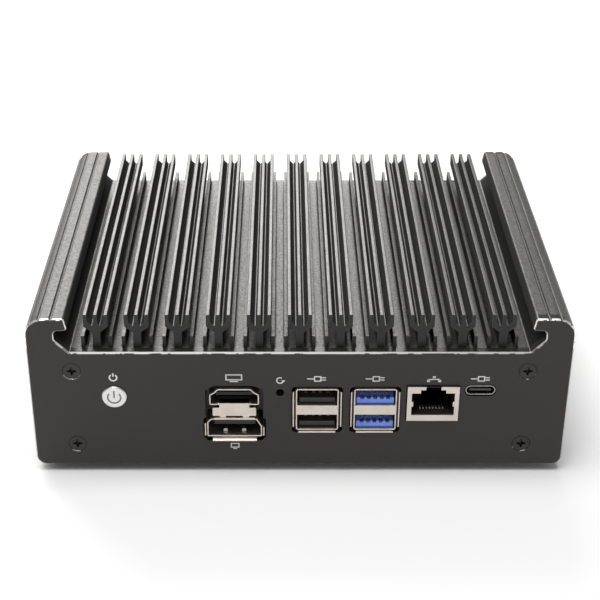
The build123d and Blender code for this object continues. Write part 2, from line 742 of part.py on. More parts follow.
with BuildPart() as antenna_hole_plugs:
    for x in antenna_xs:
        level_rod(x, antenna_height, (rear_face, rear_face + 0.7), antenna_radius + 1.0)
        level_rod(x, antenna_height, (rear_inside - 2, rear_face), antenna_radius - 0.1)
save(antenna_hole_plugs, "antenna_hole_plugs")

# ---------------------------------------------------------------- board and its cooling
with BuildPart() as motherboard:
    with BuildSketch(Plane.XY.offset(up(board_bottom))):
        with Locations((0, (board_front + board_rear) / 2)):
            RectangleRounded(2 * board_half_width, board_rear - board_front, 1.5)
        with Locations(*spacer_points):
            Circle(clearance_radius, mode=Mode.SUBTRACT)
    extrude(amount=board_thickness)
save(motherboard, "motherboard")

with BuildPart() as board_spacers:
    for x, y in spacer_points:
        with BuildSketch(Plane.XY.offset(up(board_top))):
            with Locations((x, y)):
                RegularPolygon(spacer_radius, 6)
                Circle(thread_radius, mode=Mode.SUBTRACT)
        extrude(amount=4.6)
        with BuildSketch(Plane.XY.offset(up(board_top + 4.6))):
            with Locations((x, y)):
                RegularPolygon(spacer_radius, 6)
        extrude(amount=roof_underside - board_top - 4.6)
        upright_rod(x, y, (roof_underside - 0.5, roof_hole_top - 0.4), shank_radius)
    upright_rod(drive_x[0], drive_mid, (drive_heights[1] + fit_gap, board_bottom), 2.6)
    upright_rod(drive_x[0], drive_mid, (20, 29), 1.1, Mode.SUBTRACT)
save(board_spacers, "board_spacers")

with BuildPart() as board_screws:
    for x, y in spacer_points:
        pan_screw(below(x, y, board_bottom), board_thickness + 4.0)
save(board_screws, "board_screws")

package_top = board_top + 1.1
die_top = package_top + 0.45
paste_top = die_top + 0.2

with BuildPart() as processor_package:
    bar((-14, 14), (-12, 12), (board_top, package_top))
save(processor_package, "processor_package")

with BuildPart() as processor_die:
    bar((-7, 7), (-5, 5), (package_top, die_top))
save(processor_die, "processor_die")

with BuildPart() as thermal_pad:
    bar((-7.5, 7.5), (-5.5, 5.5), (die_top, paste_top))
save(thermal_pad, "thermal_pad")

with BuildPart() as heat_block:
    with BuildSketch(Plane.XY.offset(up(paste_top))):
        RectangleRounded(56, 46, 2.0)
        with Locations(*block_screw_points):
            Circle(clearance_radius, mode=Mode.SUBTRACT)
    extrude(amount=roof_underside - paste_top)
    with Locations(*[below(x, y, paste_top) for x, y in block_screw_points]):
        Cone(
            clearance_radius, sink_radius, sink_depth,
            align=(Align.CENTER, Align.CENTER, Align.MAX), mode=Mode.SUBTRACT,
        )
save(heat_block, "heat_block")

with BuildPart() as heat_block_screws:
    for x, y in block_screw_points:
        countersunk_screw(below(x, y, paste_top + head_sunk), 6.5)
save(heat_block_screws, "heat_block_screws")

# ---------------------------------------------------------------- memory under the board
memory_x = -20.0
memory_heights = (26.4, 27.6)
memory_y = (-38.0, -8.0)

with BuildPart() as memory_socket:
    bar((memory_x - 36, memory_x + 36), (-42.0, -35.5), (25.4, board_bottom))
    slot_heights = (memory_heights[0] - fit_gap, memory_heights[1] + fit_gap)
    bar((memory_x - 34, memory_x + 34), (memory_y[0] - 0.1, -35), slot_heights, Mode.SUBTRACT)
save(memory_socket, "memory_socket")

with BuildPart() as memory_socket_latches:
    for edge in (-1, 1):
        arm = sorted((memory_x + edge * 34.3, memory_x + edge * 35.3))
        bar(arm, (-35.4, -11), (26.0, 28.6))
        hook = sorted((memory_x + edge * 33.2, memory_x + edge * 34.5))
        bar(hook, (-16, -13), (memory_heights[0] - 0.4, memory_heights[0] - 0.1))
        bar(sorted((memory_x + edge * 34.3, memory_x + edge * 35.3)), (-16, -13), (25.9, 26.2))
        bar(sorted((memory_x + edge * 34.3, memory_x + edge * 35.3)), (-13, -11), (28.5, board_bottom))
save(memory_socket_latches, "memory_socket_latches")

with BuildPart() as memory_module:
    bar((memory_x - 33.8, memory_x + 33.8), memory_y, memory_heights)
save(memory_module, "memory_module")

# ---------------------------------------------------------------- solid-state drive under the board
with BuildPart() as storage_slot:
    bar((38.5, 46), drive_y, (25.2, board_bottom))
    slot_heights = (drive_heights[0] - fit_gap, drive_heights[1] + fit_gap)
    bar((38, drive_x[1] + 0.1), (drive_y[0] - 1, drive_y[1] + 1), slot_heights, Mode.SUBTRACT)
save(storage_slot, "storage_slot")

with BuildPart() as storage_module:
    bar(drive_x, drive_y, drive_heights)
    upright_rod(drive_x[0], drive_mid, (20, 30), 1.75, Mode.SUBTRACT)
save(storage_module, "storage_module")

with BuildPart() as module_chips:
    for x in (-25, -12, 12, 25):
        chip_x = (memory_x + x - 5, memory_x + x + 5)
        bar(chip_x, (-30, -18), (memory_heights[0] - 1.0, memory_heights[0]))
    for x, width in ((-22, 14), (-4, 14), (14, 10), (27, 9)):
        bar((x - width / 2, x + width / 2), (11, 27), (drive_heights[0] - 1.1, drive_heights[0]))
save(module_chips, "module_chips")

with BuildPart() as storage_screw:
    screw_seat = below(drive_x[0], drive_mid, drive_heights[0] - fit_gap)
    with Locations(screw_seat):
        Cylinder(2.4, 0.9, align=(Align.CENTER, Align.CENTER, Align.MIN))
        Cylinder(1.0, 2.7, align=(Align.CENTER, Align.CENTER, Align.MAX))
    with Locations(screw_seat.offset(0.9)):
        Box(0.4, 2.2, 0.6, align=(Align.CENTER, Align.CENTER, Align.MAX), mode=Mode.SUBTRACT)
        Box(2.2, 0.4, 0.6, align=(Align.CENTER, Align.CENTER, Align.MAX), mode=Mode.SUBTRACT)
save(storage_screw, "storage_screw")

# ---------------------------------------------------------------- smaller parts of the board
cell_at = (45.0, -24.0)

with BuildPart() as coin_cell_holder:
    upright_rod(*cell_at, (25.2, board_bottom), 11.4)
    upright_rod(*cell_at, (20, 28.6), 10.1, Mode.SUBTRACT)
    bar((cell_at[0] - 3, cell_at[0] + 3), (cell_at[1] - 12, cell_at[1] - 9), (20, 28.6), Mode.SUBTRACT)
save(coin_cell_holder, "coin_cell_holder")

with BuildPart() as coin_cell:
    upright_rod(*cell_at, (25.4, 28.55), 10.0)
    chamfer(coin_cell.faces().sort_by(Axis.Z)[0].edges(), 0.4)
save(coin_cell, "coin_cell")

with BuildPart() as drive_sockets:
    bar((24, 41), (-7, -1), (21.5, board_bottom))
    bar((25, 40), (-5.8, -2.2), (20, 27.5), Mode.SUBTRACT)
    bar((27, 37.5), (-4.0, -2.9), (22, 27.6))
    bar((45, 57.4), (-7, -1), (21.5, board_bottom))
    bar((45.8, 56.6), (-6.2, -1.8), (20, 27.5), Mode.SUBTRACT)
    for i in range(4):
        bar((46.9 + 2.5 * i, 47.5 + 2.5 * i), (-4.3, -3.7), (22.5, 27.6))
save(drive_sockets, "drive_sockets")

with BuildPart() as network_chips:
    for x in lan_xs:
        bar((x - 3.5, x + 3.5), (33, 40), (board_top, board_top + 0.9))
save(network_chips, "network_chips")

with BuildPart() as power_coils:
    for x in (-50, -40, 40, 50):
        with BuildSketch(Plane.XY.offset(up(board_top))):
            with Locations((x, 2)):
                RectangleRounded(7.2, 7.2, 0.8)
        extrude(amount=4.0)
save(power_coils, "power_coils")

with BuildPart() as capacitors:
    for x in (-60, -52, 52, 60):
        upright_rod(x, 18, (23.4, board_bottom), 3.2)
        with Locations((x, 18, up(board_bottom - 0.5))):
            Box(6.6, 6.6, 1.0)
save(capacitors, "capacitors")
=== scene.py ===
import json
import math

import bmesh
import bpy
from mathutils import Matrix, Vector


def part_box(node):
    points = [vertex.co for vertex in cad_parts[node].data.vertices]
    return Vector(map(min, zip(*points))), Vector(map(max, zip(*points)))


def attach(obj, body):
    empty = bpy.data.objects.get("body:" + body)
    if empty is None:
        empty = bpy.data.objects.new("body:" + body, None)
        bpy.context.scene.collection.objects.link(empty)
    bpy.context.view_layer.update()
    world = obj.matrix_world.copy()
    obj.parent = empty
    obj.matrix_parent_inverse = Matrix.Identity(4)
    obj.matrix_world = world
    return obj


# Looks of the fanless mini PC: materials for every CAD node, the printed marks on its panels, the
# symbol on its button, and the studio. Lengths are in metres where nothing else is said.

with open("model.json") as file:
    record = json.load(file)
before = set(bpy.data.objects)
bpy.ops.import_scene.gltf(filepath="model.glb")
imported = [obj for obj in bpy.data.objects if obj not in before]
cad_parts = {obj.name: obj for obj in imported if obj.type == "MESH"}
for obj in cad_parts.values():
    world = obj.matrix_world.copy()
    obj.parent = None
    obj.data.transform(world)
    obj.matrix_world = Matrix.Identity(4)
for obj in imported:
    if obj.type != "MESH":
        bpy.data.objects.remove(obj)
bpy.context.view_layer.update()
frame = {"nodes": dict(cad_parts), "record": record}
nodes = frame["nodes"]
MM = 0.001


# ---------------------------------------------------------------- places taken from the frame
panel_low, panel_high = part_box("front_panel")
rear_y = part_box("rear_panel")[1].y
screws_low, screws_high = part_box("front_panel_screws")
head_radius = 2.7 * MM
countersink_radius = 4 * MM  # a little more than the real one
screw_x = screws_high.x - head_radius
screw_middle = (screws_low.z + screws_high.z) / 2  # half way between the upper and lower screws
screw_reach = screws_high.z - head_radius - screw_middle
outer_wall = panel_high.x - 5 * MM  # the case's own sides and shoulders lie beyond this
rail_edge = panel_high.x - 13 * MM  # the two rails lie beyond this
high_level = panel_high.z - 6 * MM  # only the rails and the fins' tips reach above this
front_y = panel_low.y
chamfer_middle = rear_y - 0.17 * MM  # the panels' chamfers are bare metal up to here from the middle
case_bottom = panel_low.z
highlight_foot = case_bottom + 43 * MM  # the panels' chamfers are painted brighter above this, a painted highlight


def middle(node):
    """Middle of a node's box."""
    low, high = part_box(node)
    return (low + high) / 2


# ---------------------------------------------------------------- shader building
class Look:
    """A material under construction: its principled shader and short ways to add nodes."""

    def __init__(self, name, colour, roughness, metallic=0.0, specular=0.5):
        self.material = bpy.data.materials.new(name)
        self.material.use_nodes = True
        self.tree = self.material.node_tree
        self.shader = self.tree.nodes["Principled BSDF"]
        self.set("Base Color", (*colour, 1.0))
        self.set("Roughness", roughness)
        self.set("Metallic", metallic)
        self.set("Specular IOR Level", specular)
        self.place = self.node("ShaderNodeTexCoord").outputs["Object"]
        self.normal = None

    def node(self, kind, **settings):
        made = self.tree.nodes.new(kind)
        for key, value in settings.items():
            setattr(made, key, value)
        return made

    def set(self, socket, value):
        """Gives a socket of the principled shader a value, or links a node's output to it."""
        if isinstance(value, bpy.types.NodeSocket):
            self.tree.links.new(value, self.shader.inputs[socket])
        else:
            self.shader.inputs[socket].default_value = value

    def feed(self, node, **inputs):
        """Fills a node's inputs by name, with values or with other nodes' outputs."""
        for key, value in inputs.items():
            socket = node.inputs[int(key[1:])] if key[0] == "_" else node.inputs[key]
            if isinstance(value, bpy.types.NodeSocket):
                self.tree.links.new(value, socket)
            else:
                socket.default_value = value
        return node

    def noise(self, scale, detail=2.0, roughness=0.5, stretch=None):
        """Noise texture's factor; stretch scales the object's coordinates first."""
        place = self.place
        if stretch:
            place = self.feed(self.node("ShaderNodeMapping"), Vector=place, Scale=stretch).outputs[0]
        texture = self.node("ShaderNodeTexNoise")
        self.feed(texture, Vector=place, Scale=scale, Detail=detail, Roughness=roughness)
        return texture.outputs["Fac"]

    def math(self, operation, *values):
        made = self.node("ShaderNodeMath", operation=operation)
        return self.feed(made, **{f"_{i}": value for i, value in enumerate(values)}).outputs[0]

    def remap(self, value, low, high, to_low, to_high):
        made = self.node("ShaderNodeMapRange")
        named = {"From Min": low, "From Max": high, "To Min": to_low, "To Max": to_high}
        return self.feed(made, Value=value, **named).outputs[0]

    def mix(self, factor, first, second):
        """Mix of two colours, each an RGB triple or an output."""
        made = self.node("ShaderNodeMix", data_type="RGBA")
        pair = [c if isinstance(c, bpy.types.NodeSocket) else (*c, 1.0) for c in (first, second)]
        self.feed(made, _0=factor, _6=pair[0], _7=pair[1])
        return made.outputs[2]

    def blend(self, factor, first, second):
        """Mix of two numbers."""
        made = self.node("ShaderNodeMix", data_type="FLOAT")
        return self.feed(made, _0=factor, _2=first, _3=second).outputs[0]

    def bump(self, height, distance, strength=1.0):
        """Adds a bump layer, on top of any that is already there."""
        made = self.node("ShaderNodeBump")
        self.feed(made, Height=height, Distance=distance, Strength=strength)
        if self.normal:
            self.feed(made, Normal=self.normal)
        self.normal = made.outputs["Normal"]
        self.set("Normal", self.normal)

    def soften_edges(self, radius):
        """Rounds the shading of sharp edges."""
        made = self.node("ShaderNodeBevel", samples=4)
        self.feed(made, Radius=radius)
        self.normal = made.outputs["Normal"]
        self.set("Normal", self.normal)

    def facing(self, axis, smooth=False):
        """How far the surface faces along an axis, from -1 to 1."""
        geometry = self.node("ShaderNodeNewGeometry")
        normal = geometry.outputs["Normal" if smooth else "True Normal"]
        return self.feed(self.node("ShaderNodeSeparateXYZ"), Vector=normal).outputs[axis]

    def tilted_faces(self):
        """1 on faces that lean 45 degrees towards the front or the rear, else 0."""
        return self.math("COMPARE", self.math("ABSOLUTE", self.facing("Y")), math.sqrt(0.5), 0.04)

    def cut_ends(self):
        """1 on faces that look straight to the front or the rear, else 0."""
        return self.math("GREATER_THAN", self.math("ABSOLUTE", self.facing("Y")), 0.95)

    def openness(self, reach):
        """0 at the bottom of narrow grooves and deep corners, 1 where nothing is near."""
        made = self.node("ShaderNodeAmbientOcclusion", samples=8, only_local=True)
        seen = self.feed(made, Distance=reach).outputs["AO"]
        return self.remap(seen, 0.35, 0.8, 0.0, 1.0)

    def edge_highlight_mask(self, radius):
        """1 on sharp edges, falling to 0 at that radius from them."""
        rounded = self.feed(self.node("ShaderNodeBevel", samples=4), Radius=radius).outputs["Normal"]
        flat = self.node("ShaderNodeNewGeometry").outputs["Normal"]
        same = self.node("ShaderNodeVectorMath", operation="DOT_PRODUCT")
        same = self.feed(same, _0=rounded, _1=flat).outputs["Value"]
        return self.remap(same, 0.99, 0.8, 0.0, 1.0)


def blasted(name, colour, roughness, metallic, grain, spread, specular=0.5):
    """Sand-blasted and dyed aluminium: a fine sparkle of lighter and darker grains.

    grain is the grain's size and spread how far single grains stray from the colour.
    """
    look = Look(name, colour, roughness, metallic, specular)
    fine = look.noise(1 / grain, detail=1.5, roughness=0.6)
    coarse = look.noise(1 / (60 * grain), detail=3.0)
    dark = tuple(c * (1 - spread) for c in colour)
    light = tuple(c * (1 + spread) for c in colour)
    grains = look.mix(look.remap(fine, 0.3, 0.7, 0.0, 1.0), dark, light)
    worn = look.mix(look.remap(coarse, 0.35, 0.7, 0.0, 0.12), grains, (0.14, 0.135, 0.13))
    look.set("Base Color", worn)
    look.set("Roughness", look.remap(fine, 0.25, 0.75, roughness - 0.1, roughness + 0.1))
    look.bump(fine, 0.6 * grain, 0.25)
    return look


def extrusion():
    """Black anodised extrusion, blasted on its open faces that look up or down and smooth on its sawn
    ends.

    Faces that look up or down sparkle and the walls between the fins are matt. Inside the outer walls, the
    walls, the cut ends and the bottoms of narrow grooves are painted near black as shade, and sharp edges
    get a painted highlight.
    """
    look = Look("blasted_housing", (0.03, 0.029, 0.028), 0.4)
    grit = look.noise(1 / (0.85 * MM), detail=1.5, roughness=0.8)
    patches = look.noise(45, detail=3.0)
    streaks = look.noise(700, detail=2.0, stretch=(1.0, 0.03, 1.0))
    level = look.remap(look.math("ABSOLUTE", look.facing("Z", smooth=True)), 0.7, 0.97, 0.0, 1.0)
    # Painted shade: ambient occlusion drops the bottoms of narrow grooves and deep corners out of the flat
    # faces, so they get the near-black wall colour and no light grains
    level = look.math("MULTIPLY", level, look.openness(0.9 * MM))
    place = look.feed(look.node("ShaderNodeSeparateXYZ"), Vector=look.place)
    across = look.math("ABSOLUTE", place.outputs["X"])
    outside = look.math("GREATER_THAN", across, outer_wall)
    rails = look.math("GREATER_THAN", across, rail_edge)
    high_up = look.math("GREATER_THAN", place.outputs["Z"], high_level)
    ends = look.cut_ends()
    reach = look.math("MULTIPLY", level, look.math("SUBTRACT", 1.0, ends))

    grains = look.math("MULTIPLY", look.remap(grit, 0.38, 0.62, 0.0, 1.0), reach)
    patchy = look.remap(patches, 0.35, 0.7, 0.0, 1.0)
    dyed = look.mix(patchy, (0.024, 0.0235, 0.0225), (0.034, 0.033, 0.0315))
    # Painted shade: inside the outer walls, the walls, cut ends and groove bottoms get a near-black copy
    # of the dye, much darker than the tops
    walls = look.mix(look.math("MAXIMUM", level, outside), (0.006, 0.0058, 0.0056), dyed)
    sparkling = look.mix(grains, walls, (0.105, 0.102, 0.098))
    # Painted highlight: sharp edges are lightened in patches, like light catching them
    edges = look.math("MULTIPLY", look.edge_highlight_mask(0.18 * MM), look.remap(patches, 0.3, 0.6, 0.1, 0.45))
    look.set("Base Color", look.mix(edges, sparkling, (0.3, 0.29, 0.28)))
    look.set("Metallic", look.math("MULTIPLY", grains, 0.4))
    wall = look.remap(streaks, 0.3, 0.7, 0.94, 1.0)
    roughest = look.blend(high_up, 0.42, look.blend(rails, 0.33, 0.45))
    smoothest = look.blend(high_up, 0.30, look.blend(rails, 0.27, 0.40))
    blasted_top = look.remap(grit, 0.35, 0.65, roughest, smoothest)
    wall = look.blend(outside, wall, look.remap(grit, 0.3, 0.7, 0.72, 0.56))
    look.set("Roughness", look.blend(ends, look.blend(level, wall, blasted_top), 0.5))
    bumpy = look.math("MAXIMUM", reach, look.math("MULTIPLY", outside, 0.8))
    relief = look.math("MULTIPLY", look.remap(bumpy, 0.0, 1.0, 0.25, 1.0), look.blend(high_up, 1.0, 0.4))
    look.bump(look.math("MULTIPLY", grit, relief), 0.035 * MM, 0.5)
    return look


def anodised_panel():
    """Flat black anodised plate: satin faces, a bare milled chamfer and glossy edges.

    The countersinks are tilted like the chamfer; only their upward-facing parts, in patches, get the bare
    chamfer colour as a painted highlight. Higher up on the rails the chamfer is painted brighter, also a
    painted highlight.
    """
    look = Look("anodised_panel", (0.026, 0.0245, 0.0235), 0.42, specular=0.3)
    fine = look.noise(1 / (0.2 * MM), detail=1.5, roughness=0.6)
    cloudy = look.noise(25, detail=2.0)
    tool_lines = look.noise(500, detail=1.0, stretch=(0.1, 1.0, 0.1))
    edge = look.math("GREATER_THAN", look.math("ABSOLUTE", look.facing("Z")), 0.9)
    place = look.feed(look.node("ShaderNodeSeparateXYZ"), Vector=look.place)
    across = look.math("SUBTRACT", look.math("ABSOLUTE", place.outputs["X"]), screw_x)
    rise = look.math("ABSOLUTE", look.math("SUBTRACT", place.outputs["Z"], screw_middle))
    rise = look.math("SUBTRACT", rise, screw_reach)
    apart = look.math("SQRT", look.math("MULTIPLY_ADD", across, across, look.math("MULTIPLY", rise, rise)))
    outline = look.math("GREATER_THAN", apart, countersink_radius)
    # Painted highlight: upward-facing parts of the countersinks, in patches, take the bright chamfer
    # colour
    countersink_highlight = look.math("MULTIPLY", look.facing("Z"), look.remap(look.noise(420), 0.42, 0.5, 0.0, 1.0))
    countersink_highlight = look.math("GREATER_THAN", countersink_highlight, 0.3)
    bare = look.math("LESS_THAN", look.math("ABSOLUTE", place.outputs["Y"]), chamfer_middle)
    outline = look.math("MULTIPLY", outline, bare)
    chamfer = look.math("MULTIPLY", look.tilted_faces(), look.math("MAXIMUM", outline, countersink_highlight))

    speckle = look.remap(fine, 0.3, 0.7, 0.0, 1.0)
    satin = look.mix(speckle, (0.0270, 0.0248, 0.0230), (0.0335, 0.0308, 0.0287))
    satin = look.mix(look.remap(cloudy, 0.3, 0.7, 0.0, 0.25), satin, (0.036, 0.0335, 0.0315))
    grains = look.math("MULTIPLY", look.remap(fine, 0.38, 0.66, 0.2, 1.0), edge)
    dyed = look.mix(edge, satin, look.mix(grains, (0.006, 0.006, 0.0058), (0.034, 0.033, 0.032)))
    # Painted highlight: higher up on the rails the bare chamfer is painted brighter
    highlight_zone = look.math("GREATER_THAN", place.outputs["Z"], highlight_foot)
    bare_and_highlit = look.mix(highlight_zone, (0.44, 0.433, 0.423), (0.90, 0.89, 0.875))
    look.set("Base Color", look.mix(chamfer, dyed, bare_and_highlit))
    look.set("Metallic", chamfer)
    glossy = look.remap(fine, 0.3, 0.7, 0.3, 0.18)
    rough = look.blend(edge, look.remap(fine, 0.3, 0.7, 0.48, 0.38), glossy)
    look.set("Roughness", look.blend(chamfer, rough, look.remap(tool_lines, 0.3, 0.7, 0.38, 0.44)))
    flat = look.math("SUBTRACT", 1.0, chamfer)
    look.bump(look.math("MULTIPLY", fine, flat), 0.02 * MM, 0.3)
    return look


def sheet_metal(name, colour, roughness):
    """Plated sheet metal with faint rolling lines and handling marks."""
    look = Look(name, colour, roughness, metallic=1.0)
    look.soften_edges(0.12 * MM)
    lines = look.noise(700, detail=3.0, stretch=(6.0, 1.0, 0.6))
    marks = look.noise(260, detail=4.0, roughness=0.65)
    darkened = tuple(c * 0.8 for c in colour)
    look.set("Base Color", look.mix(look.remap(marks, 0.45, 0.75, 0.0, 0.6), colour, darkened))
    look.set("Roughness", look.remap(lines, 0.3, 0.7, roughness - 0.06, roughness + 0.1))
    look.bump(lines, 0.004 * MM, 0.4)
    return look


def moulded(name, colour, roughness, texture=0.25 * MM):
    """Moulded plastic with a fine spark-eroded texture."""
    look = Look(name, colour, roughness, specular=0.45)
    fine = look.noise(1 / texture, detail=2.0)
    cloudy = look.noise(120, detail=3.0)
    pale = tuple(min(1.0, c * 1.35 + 0.004) for c in colour)
    look.set("Base Color", look.mix(look.remap(cloudy, 0.35, 0.7, 0.0, 0.7), colour, pale))
    look.set("Roughness", look.remap(fine, 0.3, 0.7, roughness - 0.07, roughness + 0.07))
    look.bump(fine, 0.03 * MM, 0.3)
    return look


def circuit_board(name, colour):
    """Solder mask over copper tracks, with rows of pads."""
    look = Look(name, colour, 0.35, specular=0.5)
    tracks = look.node("ShaderNodeTexBrick", offset=0.37, squash=1.6)
    black, white = (0, 0, 0, 1), (1, 1, 1, 1)
    look.feed(
        tracks, Vector=look.place, Color1=black, Color2=black, Mortar=white, Scale=260.0,
        **{"Mortar Size": 0.035, "Brick Width": 1.7, "Row Height": 0.21},
    )
    cells = look.node("ShaderNodeTexVoronoi", feature="F1", distance="CHEBYCHEV")
    look.feed(cells, Vector=look.place, Scale=420.0)
    pads = look.math("LESS_THAN", cells.outputs["Distance"], 0.16)
    lighter = tuple(c * 1.9 + 0.01 for c in colour)
    masked = look.mix(look.math("MULTIPLY", tracks.outputs["Fac"], 0.8), colour, lighter)
    look.set("Base Color", look.mix(look.math("MULTIPLY", pads, 0.75), masked, (0.62, 0.55, 0.36)))
    look.set("Metallic", look.math("MULTIPLY", pads, 0.7))
    look.bump(tracks.outputs["Fac"], 0.03 * MM, 0.5)
    return look


# ---------------------------------------------------------------- materials
def tipped_contacts():
    """Spring wires of a jack: their lower tips are painted bright as a highlight, and further up they are
    painted near black as shade.
    """
    look = sheet_metal("jack_contacts", (0.75, 0.66, 0.45), 0.3)
    height = look.feed(look.node("ShaderNodeSeparateXYZ"), Vector=look.place).outputs["Z"]
    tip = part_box("com_jack_contacts")[0].z + 0.3 * MM
    # Painted highlight on the wires' lowest tips, painted shade (near black) further up
    darkened = look.remap(height, tip, tip + 0.2 * MM, 0.0, 1.0)
    look.set("Base Color", look.mix(darkened, (0.95, 0.92, 0.85), (0.012, 0.011, 0.008)))
    look.set("Metallic", look.blend(darkened, 0.1, 1.0))
    return look


def lens_look():
    """Milky light-pipe plastic."""
    look = moulded("light_lens", (0.62, 0.6, 0.45), 0.3)
    look.set("Transmission Weight", 0.25)
    return look


def silicon_look():
    """Bare polished die."""
    look = Look("silicon", (0.28, 0.29, 0.33), 0.12, metallic=0.6)
    look.bump(look.noise(500, detail=2.0), 0.002 * MM, 0.2)
    return look


looks = {
    "housing_black": extrusion(),
    "panel_black": anodised_panel(),
    "cover_black": blasted("painted_cover", (0.03, 0.03, 0.03), 0.5, 0.0, 0.3 * MM, 0.25),
    "screw_black": sheet_metal("black_oxide", (0.055, 0.053, 0.051), 0.42),
    "screw_steel": sheet_metal("bright_screw", (0.6, 0.59, 0.57), 0.3),
    "foot_rubber": moulded("rubber_black", (0.018, 0.018, 0.018), 0.75, 0.35 * MM),
    "button_silver": blasted("button_satin", (0.72, 0.71, 0.705), 0.36, 1.0, 0.2 * MM, 0.06),
    "port_nickel": sheet_metal("port_nickel", (0.66, 0.595, 0.53), 0.33),
    "plastic_black": moulded("plastic_black", (0.024, 0.0235, 0.023), 0.42),
    "plastic_blue": moulded("plastic_blue", (0.15, 0.26, 0.80), 0.38),
    "plastic_ivory": moulded("plastic_ivory", (0.68, 0.66, 0.58), 0.45),
    "contact_gold": sheet_metal("contact_gold", (0.60, 0.45, 0.21), 0.3),
    "light_lens": lens_look(),
    "board_green": circuit_board("board_green", (0.008, 0.05, 0.028)),
    "chip_black": moulded("epoxy_black", (0.022, 0.022, 0.024), 0.5, 0.12 * MM),
    "die_silicon": silicon_look(),
    "pad_grey": moulded("thermal_pad_grey", (0.35, 0.36, 0.38), 0.7),
    "block_aluminium": sheet_metal("milled_aluminium", (0.8, 0.8, 0.79), 0.3),
    "cell_steel": sheet_metal("cell_steel", (0.72, 0.72, 0.71), 0.22),
}

# Nodes whose finish differs a little from the rest of their slot
jack_contacts = tipped_contacts()
own_looks = {
    "usb_c_shell": sheet_metal("usb_c_steel", (0.36, 0.35, 0.34), 0.3),
    "com_jack_contacts": jack_contacts,
    "lan_jack_contacts": jack_contacts,
    "usb_c_tongue": moulded("usb_c_plastic", (0.05, 0.05, 0.05), 0.4),
    "upper_video_tongue": moulded("video_plastic", (0.008, 0.008, 0.008), 0.6),
}

slot_of = {row["node"]: row["material_slot"] for row in frame["record"]["subparts"]}
for name, node in nodes.items():
    node.data.materials.clear()
    node.data.materials.append(own_looks.get(name, looks[slot_of[name]]).material)


# ---------------------------------------------------------------- printed marks
ink = moulded("ink_white", (0.62, 0.62, 0.61), 0.5)
engraving = moulded("engraving_grey", (0.16, 0.16, 0.165), 0.55)
INK_THICKNESS = 0.03 * MM


def arc(centre, radius, start, end, steps=24):
    """Points on an arc, angles in degrees counted from the right, anticlockwise."""
    turn = [math.radians(start + (end - start) * i / steps) for i in range(steps + 1)]
    return [(centre[0] + radius * math.cos(a), centre[1] + radius * math.sin(a)) for a in turn]


def ribbon(mesh, points, width, closed=False):
    """Adds a flat stroke along points, in the mark's own plane, with mitred corners."""
    path = [Vector(point) for point in points]
    count = len(path)
    rows = []
    for i, here in enumerate(path):
        before = path[i - 1] if closed or i else None
        after = path[(i + 1) % count] if closed or i < count - 1 else None
        ways = [(here - before).normalized()] if before is not None else []
        ways += [(after - here).normalized()] if after is not None else []
        way = sum(ways, Vector((0, 0))).normalized()
        across = Vector((-way.y, way.x))
        straight = Vector((-ways[0].y, ways[0].x))
        reach = width / 2 / max(0.35, across.dot(straight))
        rows.append([mesh.verts.new((*(here + side * across * reach), 0)) for side in (-1, 1)])
    pairs = zip(rows, rows[1:] + rows[:1]) if closed else zip(rows, rows[1:])
    for (low, high), (next_low, next_high) in pairs:
        mesh.faces.new((low, next_low, next_high, high))


def disc(mesh, centre, radius, steps=20):
    """Adds a filled disc."""
    mesh.faces.new([mesh.verts.new((*point, 0)) for point in arc(centre, radius, 0, 360, steps)[:-1]])


def mark(name, material, body, place, draw, side=-1):
    """A printed mark: draw(mesh) draws it in millimetres round its middle, facing the viewer.

    place is its middle on the surface, side -1 for the front panel and +1 for the rear one.
    """
    mesh = bmesh.new()
    draw(mesh)
    bmesh.ops.scale(mesh, vec=(MM, MM, MM), verts=mesh.verts)
    bmesh.ops.solidify(mesh, geom=mesh.faces[:], thickness=INK_THICKNESS)
    for vertex in mesh.verts:
        x, up, out = vertex.co
        vertex.co = (place[0] - side * x, place[1] + side * (out + INK_THICKNESS), place[2] + up)
    bmesh.ops.recalc_face_normals(mesh, faces=mesh.faces[:])
    data = bpy.data.meshes.new(name)
    mesh.to_mesh(data)
    mesh.free()
    data.materials.append(material.material)
    made = bpy.data.objects.new(name, data)
    bpy.context.scene.collection.objects.link(made)
    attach(made, body)


def power_symbol(radius, stroke, bar_top, bar_bottom, opening):
    """The usual broken ring with a bar in its gap."""

    def draw(mesh):
        ribbon(mesh, arc((0, 0), radius, 90 + opening, 450 - opening, 40), stroke)
        ribbon(mesh, [(0, bar_bottom), (0, bar_top)], stroke)

    return draw


def screen_symbol(mesh):
    """A display on its stand."""
    ribbon(mesh, [(-2.4, -0.55), (2.4, -0.55), (2.4, 1.25), (-2.4, 1.25)], 0.38, closed=True)
    ribbon(mesh, [(-1.3, -1.15), (1.3, -1.15)], 0.38)


def small_screen_symbol(mesh):
    """A smaller display on its stand."""
    ribbon(mesh, [(-1.2, -0.45), (1.2, -0.45), (1.2, 0.95), (-1.2, 0.95)], 0.36, closed=True)
    ribbon(mesh, [(-0.6, -0.95), (0.6, -0.95)], 0.36)


def renew_symbol(mesh):
    """A ring that closes on itself with an arrowhead."""
    ribbon(mesh, arc((0, 0), 1.0, 60, 360, 24), 0.4)
    mesh.faces.new([mesh.verts.new((x, y, 0)) for x, y in ((0.35, 0.1), (1.65, 0.1), (1.0, -0.75))])


def plug_symbol(mesh):
    """A plug with two prongs on a short lead."""
    ribbon(mesh, [(-3.2, 0), (-0.9, 0)], 0.34)
    ribbon(mesh, [(-0.9, -0.8), (1.0, -0.8), (1.0, 0.8), (-0.9, 0.8)], 0.36, closed=True)
    for height in (-0.42, 0.42):
        ribbon(mesh, [(1.0, height), (2.6, height)], 0.34)


